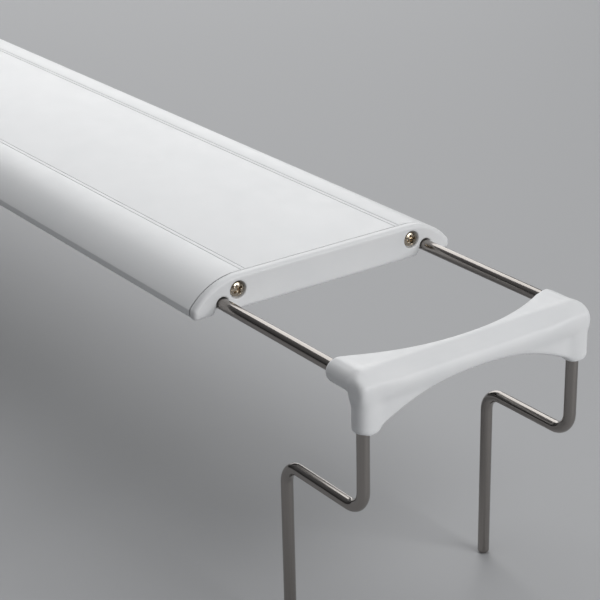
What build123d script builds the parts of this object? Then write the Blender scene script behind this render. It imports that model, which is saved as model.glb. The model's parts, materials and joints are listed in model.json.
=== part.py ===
from build123d import *
import os
from math import sqrt

# Slim LED aquarium light with a sliding wire bracket at each end.
# Millimetres, +Z up. Origin: on the ground between the leg tips, under the body's centre.
# +X runs along the body. "front" is the -Y side, "back" the +Y side.

# ---- Body
BODY_LENGTH = 450.0          # over both end caps
ROD_Z = 105.0                # height of the slide rods' axis above the leg tips
TOP_Z = ROD_Z + 8.4          # flat top of the body and caps
FLAT_HALF_WIDTH = 34.0       # where the flat top turns into the curved side
SIDE_RADIUS = 22.5           # curve of the sides
HALF_WIDTH = 51.8            # edge of the curved side
HOUSING_BOTTOM = ROD_Z - 2.9
CAP_BOTTOM = ROD_Z - 3.4
CAP_FLANGE = 3.0
CAP_CORNER = 1.2             # lower outer corners of the caps
CAP_FACE_FILLET = 1.2
GASKET = 0.4
GASKET_INSET = 0.45
LIP_FILLET = 0.5

GROOVE_Y = (30.4, 32.0)      # pairs of fine lines along the top
GROOVE_WIDTH = 0.45
GROOVE_DEPTH = 0.4

# ---- Bay under the body that holds the LED board
BAY_HALF_WIDTH = 32.6
BAY_ROOF = ROD_Z + 5.9
LENS_SLOT_Z = (ROD_Z - 2.25, ROD_Z - 0.6)
LENS_SLOT_DEPTH = 1.2
WING_WALL = 1.5              # wall of the hollow in each wing
WING_INNER_Y = 45.2

# ---- Slide rods, their channels and fittings
WIRE_RADIUS = 2.0
ROD_Y = 41.2                 # rods and legs lie in the planes y = +-ROD_Y
CHANNEL_RADIUS = 2.7
CHANNEL_SLOT = 3.0           # open slot under each channel
NOTCH_RADIUS = 2.3           # rod notches through caps and gaskets
GLIDE_LENGTH = 12.0
GLIDE_BORE = WIRE_RADIUS + 0.04
GLIDE_RADIUS = CHANNEL_RADIUS - 0.02
STOP_LENGTH = 6.0
STOP_RADIUS = 2.45
PULL_OUT = 45.0              # travel outward from the rest position
STOP_GAP = 1.0               # left between stop and glide when pulled out

# ---- Cap screws
SCREW_Y = 35.2
SCREW_Z = ROD_Z + 3.35
SCREW_PORT = 1.25
SCREW_THREAD = 1.25
SCREW_LENGTH = 12.0
SCREW_HEAD_RADIUS = 2.6
SCREW_HEAD_HEIGHT = 1.7
SCREW_HEAD_FILLET = 0.7
RECESS_ARM = (3.2, 0.8)      # length and width of each bar of the cross recess
RECESS_DEPTH = 1.0
SCREW_POCKET_RADIUS = 3.0
SCREW_POCKET_DEPTH = 1.7
SCREW_HOLE = 1.6

# ---- End cap spigots that close the bay's ends
SPIGOT_CLEARANCE = 0.3
SPIGOT_WALL = 1.2
SPIGOT_FLOOR = 0.8
SPIGOT_RIGHT = 8.0
SPIGOT_LEFT = 19.0
SPIGOT_BOTTOM = ROD_Z - 2.8
SPIGOT_TOP = ROD_Z + 5.7

# ---- LED board
PAD_THICKNESS = 0.5
BOARD_THICKNESS = 1.6
BOARD_HALF_WIDTH = 30.0
BOARD_END_GAP = 2.0          # from board to spigot
LED_SIZE = (5.7, 3.0, 0.9)
LED_ROWS = 4
LED_ROW_SPACING = 14.0
LEDS_PER_ROW = 24
LED_PITCH = 16.5
RESISTOR_SIZE = (3.2, 1.6, 0.6)
RESISTORS_PER_ROW = 8
RESISTOR_OFFSET = 4.5        # from a row of LEDs to its resistors
LENS_THICKNESS = 1.5
LENS_HALF_WIDTH = 33.6

# ---- Power inlet in the left cap, for a 5.5 x 2.1 mm plug
JACK_Z = ROD_Z + 1.9
JACK_FLANGE_RADIUS = 4.9
JACK_FLANGE = 1.0
JACK_EDGE_FILLET = 0.4       # flange and pin
JACK_RADIUS = 3.8
JACK_LENGTH = 14.0           # inward from the cap's outer face
JACK_BORE = 2.85
JACK_BORE_DEPTH = 11.0       # from the flange's face
JACK_CONTACT_WALL = 0.25
JACK_CONTACT_LENGTH = 8.0
JACK_PIN_RADIUS = 1.0
JACK_PIN_RECESS = 0.8
JACK_TAIL_RADIUS = 0.7
JACK_TAIL_LENGTH = 4.5
LEAD_RADIUS = 0.7
LEAD_RUN = 2.5               # straight out of the inlet, and then across to the board
LEAD_BEND = 1.2
LEAD_Y = 2.2                 # leads on the board, either side of its middle
LEAD_OVERLAP = 4.0           # length of the leads that lies on the board
NEGATIVE_Y = -2.6            # where the negative lead leaves the inlet
LEAD_SLOT_HALF_WIDTH = 3.5   # slot for the leads in the end of the left cap's tray
LEAD_SLOT_BOTTOM = ROD_Z + 0.5

# ---- Bracket
LEG_X = 72.5                 # upper part of the legs, out from the cap's face
JOG_LENGTH = 39.4            # from the upper part back to the lower part of a leg
JOG_Z = ROD_Z - 42.3         # wire centre of the jog that rests on the rim
BEND_RADIUS = 7.0            # centre line of the legs' bends
LEG_SOCKET_TOP = ROD_Z - 2.5
ROD_SOCKET_END = LEG_X - 3.5
LEG_TIP_FILLET = 1.2
COLLAR_RADIUS = 3.9          # collars along the rods
COLLAR_DROP = 0.5            # the collars' axis lies this far under the rods'
COLLAR_START = 58.5
COLLAR_FILLET = 1.5
LEG_COLLAR_RADIUS = 3.9      # collars down the legs
LEG_COLLAR_OFFSET = 0.8      # their axis lies this far outside the legs'
LEG_COLLAR_BOTTOM = ROD_Z - 15.0
LEG_COLLAR_FILLET = 1.2
NOSE_RADIUS = 4.8            # rounded corner that runs across the bridge
NOSE_DROP = 0.9              # centre of that corner, under the rods' axis
NOSE_FILLET = 2.5
WEB_ARC_RADIUS = 80.0        # hollow arcs of the bridge, in plan and from the side
WEB_WAIST_X = 68.6           # plan arc at the middle
WEB_WAIST_Z = ROD_Z - 4.8    # lower arc at the middle
WEB_TOP = ROD_Z + 3.3
WEB_THICKNESS = 4.5
WEB_OUTER = 3.8              # outer face of the lower web, from the legs' axis
WEB_START = COLLAR_START + 2.0
WEB_BOTTOM = LEG_COLLAR_BOTTOM + 0.5

HALF_LENGTH = BODY_LENGTH / 2
FLANGE_X = HALF_LENGTH - CAP_FLANGE
HOUSING_END = FLANGE_X - GASKET
BOARD_Z = BAY_ROOF - PAD_THICKNESS - BOARD_THICKNESS
BOARD_LEFT = -FLANGE_X + SPIGOT_LEFT + BOARD_END_GAP
BOARD_RIGHT = FLANGE_X - SPIGOT_RIGHT - BOARD_END_GAP
BOARD_MIDDLE = (BOARD_LEFT + BOARD_RIGHT) / 2
BOARD_LENGTH = BOARD_RIGHT - BOARD_LEFT
STOP_END = HOUSING_END - GLIDE_LENGTH - STOP_GAP - PULL_OUT
ENDS = {"right": 1, "left": -1}
SIDES = {"front": -1, "back": 1}


def box(x0, x1, y0, y1, z0, z1):
    """A box between two corners."""
    return Pos((x0 + x1) / 2, (y0 + y1) / 2, (z0 + z1) / 2) * Box(x1 - x0, y1 - y0, z1 - z0)


def bar(radius, start, end):
    """A round bar between two points."""
    start, end = Vector(*start), Vector(*end)
    plane = Plane(origin=start, z_dir=end - start)
    return extrude(plane * Circle(radius), (end - start).length)


def along_x(sketch, x0, x1):
    """Extrude a YZ sketch, drawn with y across and z up, from x0 to x1."""
    return extrude(Plane.YZ.offset(x0) * sketch, x1 - x0)


def turned(shape, end):
    """A right-hand shape as it is, or turned half a turn about Z for the left end."""
    return shape if end == "right" else Rot(0, 0, 180) * shape


def save(name, shapes):
    """Write one node as a STEP file."""
    shapes = shapes if isinstance(shapes, list) else [shapes]
    solids = [solid for shape in shapes for solid in shape.solids()]
    node = solids[0] if len(solids) == 1 else Compound(children=solids)
    node.label = name
    export_step(node, f"parts/{name}.step")


def side_arc_z(y, radius=SIDE_RADIUS):
    """Height of the curved side at distance y from the middle."""
    return TOP_Z - SIDE_RADIUS + sqrt(radius**2 - (y - FLAT_HALF_WIDTH) ** 2)


def outer_profile(bottom, corner, inset=0.0):
    """Section of the body or cap: flat top, curved sides, upright lips and a flat bottom."""
    radius = SIDE_RADIUS - inset
    edge = HALF_WIDTH - inset
    middle = (FLAT_HALF_WIDTH + edge) / 2
    top = TOP_Z - inset
    lip = (edge, side_arc_z(edge, radius))
    outline = Polyline((0, top), (FLAT_HALF_WIDTH, top))
    outline += ThreePointArc((FLAT_HALF_WIDTH, top), (middle, side_arc_z(middle, radius)), lip)
    outline += Polyline(lip, (edge, bottom), (0, bottom), (0, top))
    half = make_face(outline.edges())
    corners = half.vertices().filter_by(lambda v: abs(v.X - edge) < 0.01 and abs(v.Y - bottom) < 0.01)
    half = fillet(corners, corner)
    return half + mirror(half, Plane.YZ)


def wing_hollow(side):
    """Closed hollow that lightens the outer part of a wing."""
    radius = SIDE_RADIUS - WING_WALL
    floor = HOUSING_BOTTOM + WING_WALL
    outer_y = FLAT_HALF_WIDTH + sqrt(radius**2 - (floor - TOP_Z + SIDE_RADIUS) ** 2)
    middle_y = (WING_INNER_Y + outer_y) / 2
    top = (WING_INNER_Y, side_arc_z(WING_INNER_Y, radius))
    outline = Polyline((WING_INNER_Y, floor), (outer_y, floor))
    outline += ThreePointArc((outer_y, floor), (middle_y, side_arc_z(middle_y, radius)), top)
    outline += Line(top, (WING_INNER_Y, floor))
    face = make_face(outline.edges())
    return face if side > 0 else mirror(face, Plane.YZ)


def housing_profile():
    """Section of the extrusion with its bay, slots, screw ports, rod channels and hollows."""
    profile = outer_profile(HOUSING_BOTTOM, LIP_FILLET)
    bay_height = BAY_ROOF - HOUSING_BOTTOM + 1
    profile -= Pos(0, BAY_ROOF - bay_height / 2) * Rectangle(2 * BAY_HALF_WIDTH, bay_height)
    slot_height = LENS_SLOT_Z[1] - LENS_SLOT_Z[0]
    slot_width = 2 * (BAY_HALF_WIDTH + LENS_SLOT_DEPTH)
    profile -= Pos(0, LENS_SLOT_Z[0] + slot_height / 2) * Rectangle(slot_width, slot_height)
    for side in (-1, 1):
        profile -= Pos(side * SCREW_Y, SCREW_Z) * Circle(SCREW_PORT)
        profile -= Pos(side * ROD_Y, ROD_Z) * Circle(CHANNEL_RADIUS)
        profile -= Pos(side * ROD_Y, ROD_Z - 5) * Rectangle(CHANNEL_SLOT, 10)
        profile -= wing_hollow(side)
        for groove in GROOVE_Y:
            profile -= Pos(side * groove, TOP_Z) * Rectangle(GROOVE_WIDTH, 2 * GROOVE_DEPTH)
    return profile


def housing():
    return along_x(housing_profile(), -HOUSING_END, HOUSING_END)


def rod_notches():
    """Notches for the rods, round at the top and open at the bottom."""
    notches = Sketch()
    for side in (-1, 1):
        notches += Pos(side * ROD_Y, ROD_Z) * Circle(NOTCH_RADIUS)
        notches += Pos(side * ROD_Y, ROD_Z - 5) * Rectangle(2 * NOTCH_RADIUS, 10)
    return notches


def cap_gasket():
    """Thin seal between cap and housing, with rod notches, screw holes and an open bay."""
    sketch = outer_profile(HOUSING_BOTTOM + GASKET_INSET, LIP_FILLET, GASKET_INSET) - rod_notches()
    bay_height = BAY_ROOF - HOUSING_BOTTOM + 1
    sketch -= Pos(0, BAY_ROOF - bay_height / 2) * Rectangle(2 * BAY_HALF_WIDTH, bay_height)
    for side in (-1, 1):
        sketch -= Pos(side * SCREW_Y, SCREW_Z) * Circle(SCREW_HOLE)
    return along_x(sketch, HOUSING_END, FLANGE_X)


def spigot(length):
    """Open-topped tray that closes the end of the bay behind the cap."""
    y = BAY_HALF_WIDTH - SPIGOT_CLEARANCE
    tray = box(FLANGE_X - length, FLANGE_X, -y, y, SPIGOT_BOTTOM, SPIGOT_TOP)
    inner_y = y - SPIGOT_WALL
    inner = box(FLANGE_X - length + SPIGOT_WALL, FLANGE_X, -inner_y, inner_y,
                SPIGOT_BOTTOM + SPIGOT_FLOOR, SPIGOT_TOP + 1)
    return tray - inner


def end_cap(spigot_length):
    """Moulded end cap, drawn for the right-hand end."""
    cap = along_x(outer_profile(CAP_BOTTOM, CAP_CORNER), FLANGE_X, HALF_LENGTH)
    face_edges = cap.faces().sort_by(Axis.X)[-1].edges()
    cap = fillet(face_edges, CAP_FACE_FILLET)
    cap -= along_x(rod_notches(), FLANGE_X - 1, HALF_LENGTH + 1)
    for side in (-1, 1):
        y = side * SCREW_Y
        cap -= bar(SCREW_HOLE, (FLANGE_X - 1, y, SCREW_Z), (HALF_LENGTH + 1, y, SCREW_Z))
        cap -= bar(SCREW_POCKET_RADIUS, (HALF_LENGTH - SCREW_POCKET_DEPTH, y, SCREW_Z),
                   (HALF_LENGTH + 1, y, SCREW_Z))
    return cap + spigot(spigot_length)


def left_cap():
    """The left cap, with a hole for the power inlet through its flange and tray end."""
    cap = turned(end_cap(SPIGOT_LEFT), "left")
    hole = bar(JACK_RADIUS, (-HALF_LENGTH - 1, 0, JACK_Z), (-FLANGE_X + JACK_LENGTH, 0, JACK_Z))
    leads = box(-FLANGE_X + SPIGOT_LEFT - 2 * SPIGOT_WALL, -FLANGE_X + SPIGOT_LEFT + 1,
                -LEAD_SLOT_HALF_WIDTH, LEAD_SLOT_HALF_WIDTH, LEAD_SLOT_BOTTOM, SPIGOT_TOP + 1)
    return cap - hole - leads


def cap_screw(side):
    """Self-tapping screw with a domed cross-recess head."""
    y = side * SCREW_Y
    seat = HALF_LENGTH - SCREW_POCKET_DEPTH
    shank = bar(SCREW_THREAD, (seat - SCREW_LENGTH, y, SCREW_Z), (seat, y, SCREW_Z))
    head = bar(SCREW_HEAD_RADIUS, (seat, y, SCREW_Z), (seat + SCREW_HEAD_HEIGHT, y, SCREW_Z))
    head = fillet(head.edges().sort_by(Axis.X)[-1], SCREW_HEAD_FILLET)
    top = seat + SCREW_HEAD_HEIGHT
    for across, up in (RECESS_ARM, RECESS_ARM[::-1]):
        head -= box(top - RECESS_DEPTH, top + 1, y - across / 2, y + across / 2,
                    SCREW_Z - up / 2, SCREW_Z + up / 2)
    return shank + head


def slide_rod(side):
    """Straight rod from its stop in the housing to its socket in the bridge."""
    y = side * ROD_Y
    end_x = HALF_LENGTH + ROD_SOCKET_END
    return bar(WIRE_RADIUS, (STOP_END - STOP_LENGTH, y, ROD_Z), (end_x, y, ROD_Z))


def ring(side, outer, inner, x0, x1):
    """Ring about a rod's axis."""
    y = side * ROD_Y
    start, end = (x0, y, ROD_Z), (x1, y, ROD_Z)
    return bar(outer, start, end) - bar(inner, start, end)


def leg(side):
    """Wire leg: down from the bridge, back along the rim, and down inside the tank."""
    y = side * ROD_Y
    outer_x = HALF_LENGTH + LEG_X
    inner_x = outer_x - JOG_LENGTH
    path = FilletPolyline((outer_x, y, LEG_SOCKET_TOP), (outer_x, y, JOG_Z),
                          (inner_x, y, JOG_Z), (inner_x, y, 0), radius=BEND_RADIUS)
    wire = sweep(Plane(origin=path @ 0, z_dir=path % 0) * Circle(WIRE_RADIUS), path=path)
    tip = wire.edges().filter_by(GeomType.CIRCLE).sort_by(Axis.Z)[0]
    return fillet(tip, LEG_TIP_FILLET)


def bridge_collars():
    """Collars round the rods' outer ends and the legs' upper ends."""
    x = HALF_LENGTH + LEG_X
    shapes = []
    for side in SIDES.values():
        y = side * ROD_Y
        rod_z = ROD_Z - COLLAR_DROP
        rod_collar = bar(COLLAR_RADIUS, (HALF_LENGTH + COLLAR_START, y, rod_z), (x, y, rod_z))
        shapes.append(fillet(rod_collar.edges().sort_by(Axis.X)[0], COLLAR_FILLET))
        leg_x = x + LEG_COLLAR_OFFSET
        leg_collar = bar(LEG_COLLAR_RADIUS, (leg_x, y, LEG_COLLAR_BOTTOM), (leg_x, y, ROD_Z))
        shapes.append(fillet(leg_collar.edges().sort_by(Axis.Z)[0], LEG_COLLAR_FILLET))
    return shapes


def bridge_webs():
    """Flat webs between the collars, hollowed by an arc in plan and one from the side."""
    x = HALF_LENGTH + LEG_X
    start = HALF_LENGTH + WEB_START
    upper = box(start, x, -ROD_Y, ROD_Y, WEB_TOP - WEB_THICKNESS, WEB_TOP)
    upper_arc_x = HALF_LENGTH + WEB_WAIST_X - WEB_ARC_RADIUS
    upper -= bar(WEB_ARC_RADIUS, (upper_arc_x, 0, ROD_Z - 20), (upper_arc_x, 0, ROD_Z + 20))
    lower = box(x + WEB_OUTER - WEB_THICKNESS, x + WEB_OUTER, -ROD_Y, ROD_Y,
                WEB_BOTTOM, ROD_Z)
    lower_arc_z = WEB_WAIST_Z - WEB_ARC_RADIUS
    lower -= bar(WEB_ARC_RADIUS, (x - 20, 0, lower_arc_z), (x + 20, 0, lower_arc_z))
    return [upper, lower]


def bridge():
    """Moulded bridge that joins two rods to two legs, drawn for the right-hand end."""
    x = HALF_LENGTH + LEG_X
    width = ROD_Y + COLLAR_RADIUS
    centre_z = ROD_Z - NOSE_DROP
    nose = bar(NOSE_RADIUS, (x, -width, centre_z), (x, width, centre_z))
    shape = fillet(nose.edges().filter_by(GeomType.CIRCLE), NOSE_FILLET)
    for piece in bridge_webs() + bridge_collars():
        shape += piece
    for side in SIDES.values():
        y = side * ROD_Y
        shape -= bar(WIRE_RADIUS, (HALF_LENGTH, y, ROD_Z), (HALF_LENGTH + ROD_SOCKET_END, y, ROD_Z))
        shape -= bar(WIRE_RADIUS, (x, y, 0), (x, y, LEG_SOCKET_TOP))
    return shape


def led_row(row):
    """One row of LEDs under the board."""
    y = (row - (LED_ROWS - 1) / 2) * LED_ROW_SPACING
    start = BOARD_MIDDLE - (LEDS_PER_ROW - 1) * LED_PITCH / 2
    z = BOARD_Z - LED_SIZE[2] / 2
    return [Pos(start + i * LED_PITCH, y, z) * Box(*LED_SIZE) for i in range(LEDS_PER_ROW)]


def resistors():
    """One resistor for each string of three LEDs, beside every row."""
    pitch = LED_PITCH * LEDS_PER_ROW / RESISTORS_PER_ROW
    start = BOARD_MIDDLE - (RESISTORS_PER_ROW - 1) * pitch / 2
    z = BOARD_Z - RESISTOR_SIZE[2] / 2
    found = []
    for row in range(LED_ROWS):
        y = (row - (LED_ROWS - 1) / 2) * LED_ROW_SPACING + RESISTOR_OFFSET
        found += [Pos(start + i * pitch, y, z) * Box(*RESISTOR_SIZE) for i in range(RESISTORS_PER_ROW)]
    return found


def jack_body():
    """Round shell of the power inlet, pressed into the left cap."""
    face = -HALF_LENGTH - JACK_FLANGE
    back = -HALF_LENGTH + JACK_LENGTH
    floor = face + JACK_BORE_DEPTH
    shell = bar(JACK_FLANGE_RADIUS, (face, 0, JACK_Z), (-HALF_LENGTH, 0, JACK_Z))
    shell = fillet(shell.edges().sort_by(Axis.X)[0], JACK_EDGE_FILLET)
    shell += bar(JACK_RADIUS, (-HALF_LENGTH, 0, JACK_Z), (back, 0, JACK_Z))
    shell -= bar(JACK_BORE, (face - 1, 0, JACK_Z), (floor, 0, JACK_Z))
    recess = JACK_BORE + JACK_CONTACT_WALL
    shell -= bar(recess, (floor - JACK_CONTACT_LENGTH, 0, JACK_Z), (floor, 0, JACK_Z))
    return shell - bar(JACK_TAIL_RADIUS, (floor - 1, 0, JACK_Z), (back + 1, 0, JACK_Z))


def jack_contact():
    """Thin metal sleeve in the inlet that touches the plug's outside."""
    floor = -HALF_LENGTH - JACK_FLANGE + JACK_BORE_DEPTH
    start = (floor - JACK_CONTACT_LENGTH, 0, JACK_Z)
    end = (floor, 0, JACK_Z)
    return bar(JACK_BORE + JACK_CONTACT_WALL, start, end) - bar(JACK_BORE, start, end)


def jack_pin():
    """Centre pin of the inlet with its thinner tail."""
    face = -HALF_LENGTH - JACK_FLANGE
    floor = face + JACK_BORE_DEPTH
    back = -HALF_LENGTH + JACK_LENGTH
    pin = bar(JACK_PIN_RADIUS, (face + JACK_PIN_RECESS, 0, JACK_Z), (floor, 0, JACK_Z))
    pin = fillet(pin.edges().sort_by(Axis.X)[0], JACK_EDGE_FILLET)
    return pin + bar(JACK_TAIL_RADIUS, (floor, 0, JACK_Z), (back + JACK_TAIL_LENGTH, 0, JACK_Z))


def lead(start, side):
    """Insulated lead from the inlet to the board's end."""
    y = side * LEAD_Y
    bend_x = start[0] + LEAD_RUN
    end = (BOARD_LEFT + LEAD_OVERLAP, y, BOARD_Z - LEAD_RADIUS)
    path = FilletPolyline(start, (bend_x, start[1], start[2]), (bend_x + LEAD_RUN, y, end[2]), end,
                          radius=LEAD_BEND)
    return sweep(Plane(origin=path @ 0, z_dir=path % 0) * Circle(LEAD_RADIUS), path=path)


def main():
    os.makedirs("parts", exist_ok=True)
    save("housing", housing())
    save("end_cap_right", end_cap(SPIGOT_RIGHT))
    save("end_cap_left", left_cap())
    for end in ENDS:
        save(f"cap_gasket_{end}", turned(cap_gasket(), end))
        save(f"cap_screws_{end}", [turned(cap_screw(side), end) for side in SIDES.values()])
        save(f"bridge_{end}", turned(bridge(), end))
        for name, side in SIDES.items():
            side *= ENDS[end]
            save(f"slide_rod_{end}_{name}", turned(slide_rod(side), end))
            save(f"leg_{end}_{name}", turned(leg(side), end))
            glide = ring(side, GLIDE_RADIUS, GLIDE_BORE, HOUSING_END - GLIDE_LENGTH, HOUSING_END)
            save(f"rod_glide_{end}_{name}", turned(glide, end))
            stop = ring(side, STOP_RADIUS, WIRE_RADIUS, STOP_END - STOP_LENGTH, STOP_END)
            save(f"rod_stop_{end}_{name}", turned(stop, end))

    pad_y = BOARD_HALF_WIDTH
    save("thermal_pad", box(BOARD_LEFT, BOARD_RIGHT, -pad_y, pad_y, BAY_ROOF - PAD_THICKNESS, BAY_ROOF))
    save("led_board", box(BOARD_LEFT, BOARD_RIGHT, -pad_y, pad_y, BOARD_Z, BOARD_Z + BOARD_THICKNESS))
    for row in range(LED_ROWS):
        save(f"led_row_{row + 1}", led_row(row))
    save("board_resistors", resistors())
    lens_z = sum(LENS_SLOT_Z) / 2
    lens_left = -FLANGE_X + SPIGOT_LEFT + 0.2
    lens_right = FLANGE_X - SPIGOT_RIGHT - 0.2
    save("cover_lens", box(lens_left, lens_right, -LENS_HALF_WIDTH, LENS_HALF_WIDTH,
                           lens_z - LENS_THICKNESS / 2, lens_z + LENS_THICKNESS / 2))

    save("dc_jack_body", jack_body())
    save("dc_jack_contact", jack_contact())
    save("dc_jack_pin", jack_pin())
    tail_x = -HALF_LENGTH + JACK_LENGTH + JACK_TAIL_LENGTH
    save("lead_positive", lead((tail_x, 0, JACK_Z), 1))
    save("lead_negative", lead((tail_x - JACK_TAIL_LENGTH, NEGATIVE_Y, JACK_Z), -1))


main()
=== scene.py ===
"""Looks of a slim LED aquarium light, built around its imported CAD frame.

Lengths are millimetres in the row frame, until make_piece turns them into metres.
The right-hand end (+X) is drawn, and the left-hand end is the same turned half a turn about Z.
"""

import itertools
import json
import math

import bmesh
import bpy
import numpy as np
from mathutils import Matrix, Vector
from mathutils.geometry import tessellate_polygon


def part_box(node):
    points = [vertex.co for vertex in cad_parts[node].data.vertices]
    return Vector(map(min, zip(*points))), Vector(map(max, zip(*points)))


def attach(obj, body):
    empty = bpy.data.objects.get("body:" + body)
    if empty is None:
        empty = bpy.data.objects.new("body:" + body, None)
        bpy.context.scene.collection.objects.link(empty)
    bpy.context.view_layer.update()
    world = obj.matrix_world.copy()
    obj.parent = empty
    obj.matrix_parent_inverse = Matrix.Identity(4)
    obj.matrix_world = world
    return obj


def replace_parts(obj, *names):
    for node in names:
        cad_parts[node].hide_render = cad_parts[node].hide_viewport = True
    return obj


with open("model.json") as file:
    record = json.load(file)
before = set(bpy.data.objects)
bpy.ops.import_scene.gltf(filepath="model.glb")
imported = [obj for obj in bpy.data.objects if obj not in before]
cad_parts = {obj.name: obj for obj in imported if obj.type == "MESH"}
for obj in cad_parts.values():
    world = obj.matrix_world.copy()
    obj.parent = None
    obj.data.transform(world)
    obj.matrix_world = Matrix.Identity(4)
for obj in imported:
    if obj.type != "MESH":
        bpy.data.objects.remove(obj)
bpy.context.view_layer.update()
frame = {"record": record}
MM = 0.001
ENDS = {"right": 1, "left": -1}
SIDES = {"front": -1, "back": 1}
BODIES = frame["record"]["behaviour"]["bodies"]
BODY_OF = {node: body for body, nodes in BODIES.items() for node in nodes}


def node_box(node):
    """Lowest and highest corners of a CAD node, in millimetres."""
    low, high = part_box(node)
    return np.array(low) / MM, np.array(high) / MM


# ---------------------------------------------------------------- places read from the frame
ROD_LOW, ROD_HIGH = node_box("slide_rod_right_back")
LEG_LOW, LEG_HIGH = node_box("leg_right_back")
CAP_LOW, CAP_HIGH = node_box("end_cap_right")
HOUSING_LOW, HOUSING_HIGH = node_box("housing")
BRIDGE_LOW, BRIDGE_HIGH = node_box("bridge_right")
GLIDE_LOW, GLIDE_HIGH = node_box("rod_glide_right_back")
STOP_LOW, STOP_HIGH = node_box("rod_stop_right_back")
BOARD_LOW, BOARD_HIGH = node_box("led_board")
PAD_LOW, PAD_HIGH = node_box("thermal_pad")
LENS_LOW, LENS_HIGH = node_box("cover_lens")
JACK_LOW, JACK_HIGH = node_box("dc_jack_body")
PIN_LOW, PIN_HIGH = node_box("dc_jack_pin")
CONTACT_LOW, CONTACT_HIGH = node_box("dc_jack_contact")
WIRE_RADIUS = (ROD_HIGH[2] - ROD_LOW[2]) / 2
ROD_Y = (ROD_LOW[1] + ROD_HIGH[1]) / 2
ROD_Z = (ROD_LOW[2] + ROD_HIGH[2]) / 2
FACE_X = CAP_HIGH[0]
TOP_Z = CAP_HIGH[2]
HALF_WIDTH = HOUSING_HIGH[1]
HOUSING_END = HOUSING_HIGH[0]
HOUSING_BOTTOM = HOUSING_LOW[2]
CAP_BOTTOM = CAP_LOW[2]
LEG_X = LEG_HIGH[0] - WIRE_RADIUS
LEG_INNER_X = LEG_LOW[0] + WIRE_RADIUS
LEG_TOP = LEG_HIGH[2]
JACK_Z = (JACK_LOW[2] + JACK_HIGH[2]) / 2

# ---------------------------------------------------------------- shapes that match the CAD model
FLAT_HALF_WIDTH = 34.0
SIDE_RADIUS = 22.5
WING_WALL = 1.5
WING_INNER_Y = 45.2
FLANGE_X = FACE_X - 3.0
GROOVES = (30.4, 32.0)
GROOVE_WIDTH = 0.45
GROOVE_DEPTH = 0.18
BAY_HALF_WIDTH = 32.6
BAY_ROOF = ROD_Z + 5.9
SLOT_LOW = ROD_Z - 2.25
SLOT_HIGH = ROD_Z - 0.6
SLOT_Y = 33.8
SCREW_Y = 35.2
SCREW_Z = ROD_Z + 3.35
SCREW_PORT = 1.25
SCREW_HOLE = 1.6
SCREW_POCKET = 3.0
SCREW_SEAT = FACE_X - 1.7
CHANNEL_RADIUS = 2.7
CHANNEL_SLOT = 1.5
NOTCH_RADIUS = 2.3
JOG_Z = ROD_Z - 42.3
BEND_RADIUS = 7.0
ROD_END_ROUNDING = 0.4
LEG_END_ROUNDING = 1.2
GLIDE_RADIUS = CHANNEL_RADIUS - 0.02
GLIDE_BORE = WIRE_RADIUS + 0.04
STOP_RADIUS = (STOP_HIGH[2] - STOP_LOW[2]) / 2
SPIGOT_RIGHT = 8.0
SPIGOT_LEFT = 19.0
SPIGOT_CLEARANCE = 0.3
SPIGOT_BOTTOM = ROD_Z - 2.8
SPIGOT_TOP = ROD_Z + 5.7
SPIGOT_WALL = 1.2
SPIGOT_FLOOR = 0.8
JACK_FLANGE = 1.0
JACK_FLANGE_RADIUS = 4.9
JACK_RADIUS = 3.8
JACK_BORE = 2.85
JACK_BORE_DEPTH = 11.0
JACK_TAIL_RADIUS = 0.7
CONTACT_RADIUS = 3.1
LED_PITCH = 16.5
LED_ROWS = 4
LEDS_PER_ROW = 24
LED_HALF_LENGTH = 2.85
ROW_SPACING = 14.0
RESISTOR_PITCH = 49.5
RESISTOR_OFFSET = 4.5
RESISTOR_HALF_LENGTH = 1.6
LEAD_RADIUS = 0.7
LEAD_RUN = 2.5
LEAD_BEND = 1.2
LEAD_Y = 2.2
LEAD_OVERLAP = 4.0
NEGATIVE_Y = -2.6


# ---------------------------------------------------------------- mesh tools
def turned(points, end):
    """Points of the right-hand end, turned half a turn about Z for the left-hand end."""
    return np.asarray(points, dtype=float) * np.array([end, end, 1.0])


def make_piece(name, shape, material, nodes, sharp=35, run=None):
    """Make a mesh piece from (points, faces), tie it to its nodes' body, and hide those CAD nodes."""
    points, faces = shape
    mesh = bpy.data.meshes.new(name)
    mesh.from_pydata((np.asarray(points) * MM).tolist(), [], [[int(i) for i in f] for f in faces])
    mesh.validate()
    surface = bmesh.new()
    surface.from_mesh(mesh)
    bmesh.ops.recalc_face_normals(surface, faces=surface.faces)
    surface.to_mesh(mesh)
    surface.free()
    mesh.polygons.foreach_set("use_smooth", [True] * len(mesh.polygons))
    mesh.set_sharp_from_angle(angle=math.radians(sharp))
    if run is not None:
        place = mesh.attributes.new("run", "FLOAT_VECTOR", "POINT")
        place.data.foreach_set("vector", np.asarray(run).ravel())
    mesh.materials.append(material)
    piece = bpy.data.objects.new(name, mesh)
    bpy.context.scene.collection.objects.link(piece)
    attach(piece, BODY_OF[nodes[0]])
    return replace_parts(piece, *nodes)


def make_at_end(sign, name, shape, material, nodes, run=None):
    """Make a piece that is drawn at the right-hand end, turned for the left-hand end if sign is -1."""
    points, faces = shape
    return make_piece(name, (turned(points, sign), faces), material, nodes, run=run)


def joined(shapes):
    """Several (points, faces) shapes as one."""
    points, faces, start = [], [], 0
    for shape_points, shape_faces in shapes:
        points.append(np.asarray(shape_points, dtype=float))
        faces += [tuple(int(i) + start for i in face) for face in shape_faces]
        start += len(shape_points)
    return np.concatenate(points), faces


def moved(shape, offset):
    """A shape shifted by an offset."""
    return shape[0] + np.array(offset), shape[1]


def repeated(shape, places):
    """Copies of a shape at several places."""
    return joined([moved(shape, place) for place in places])


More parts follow.
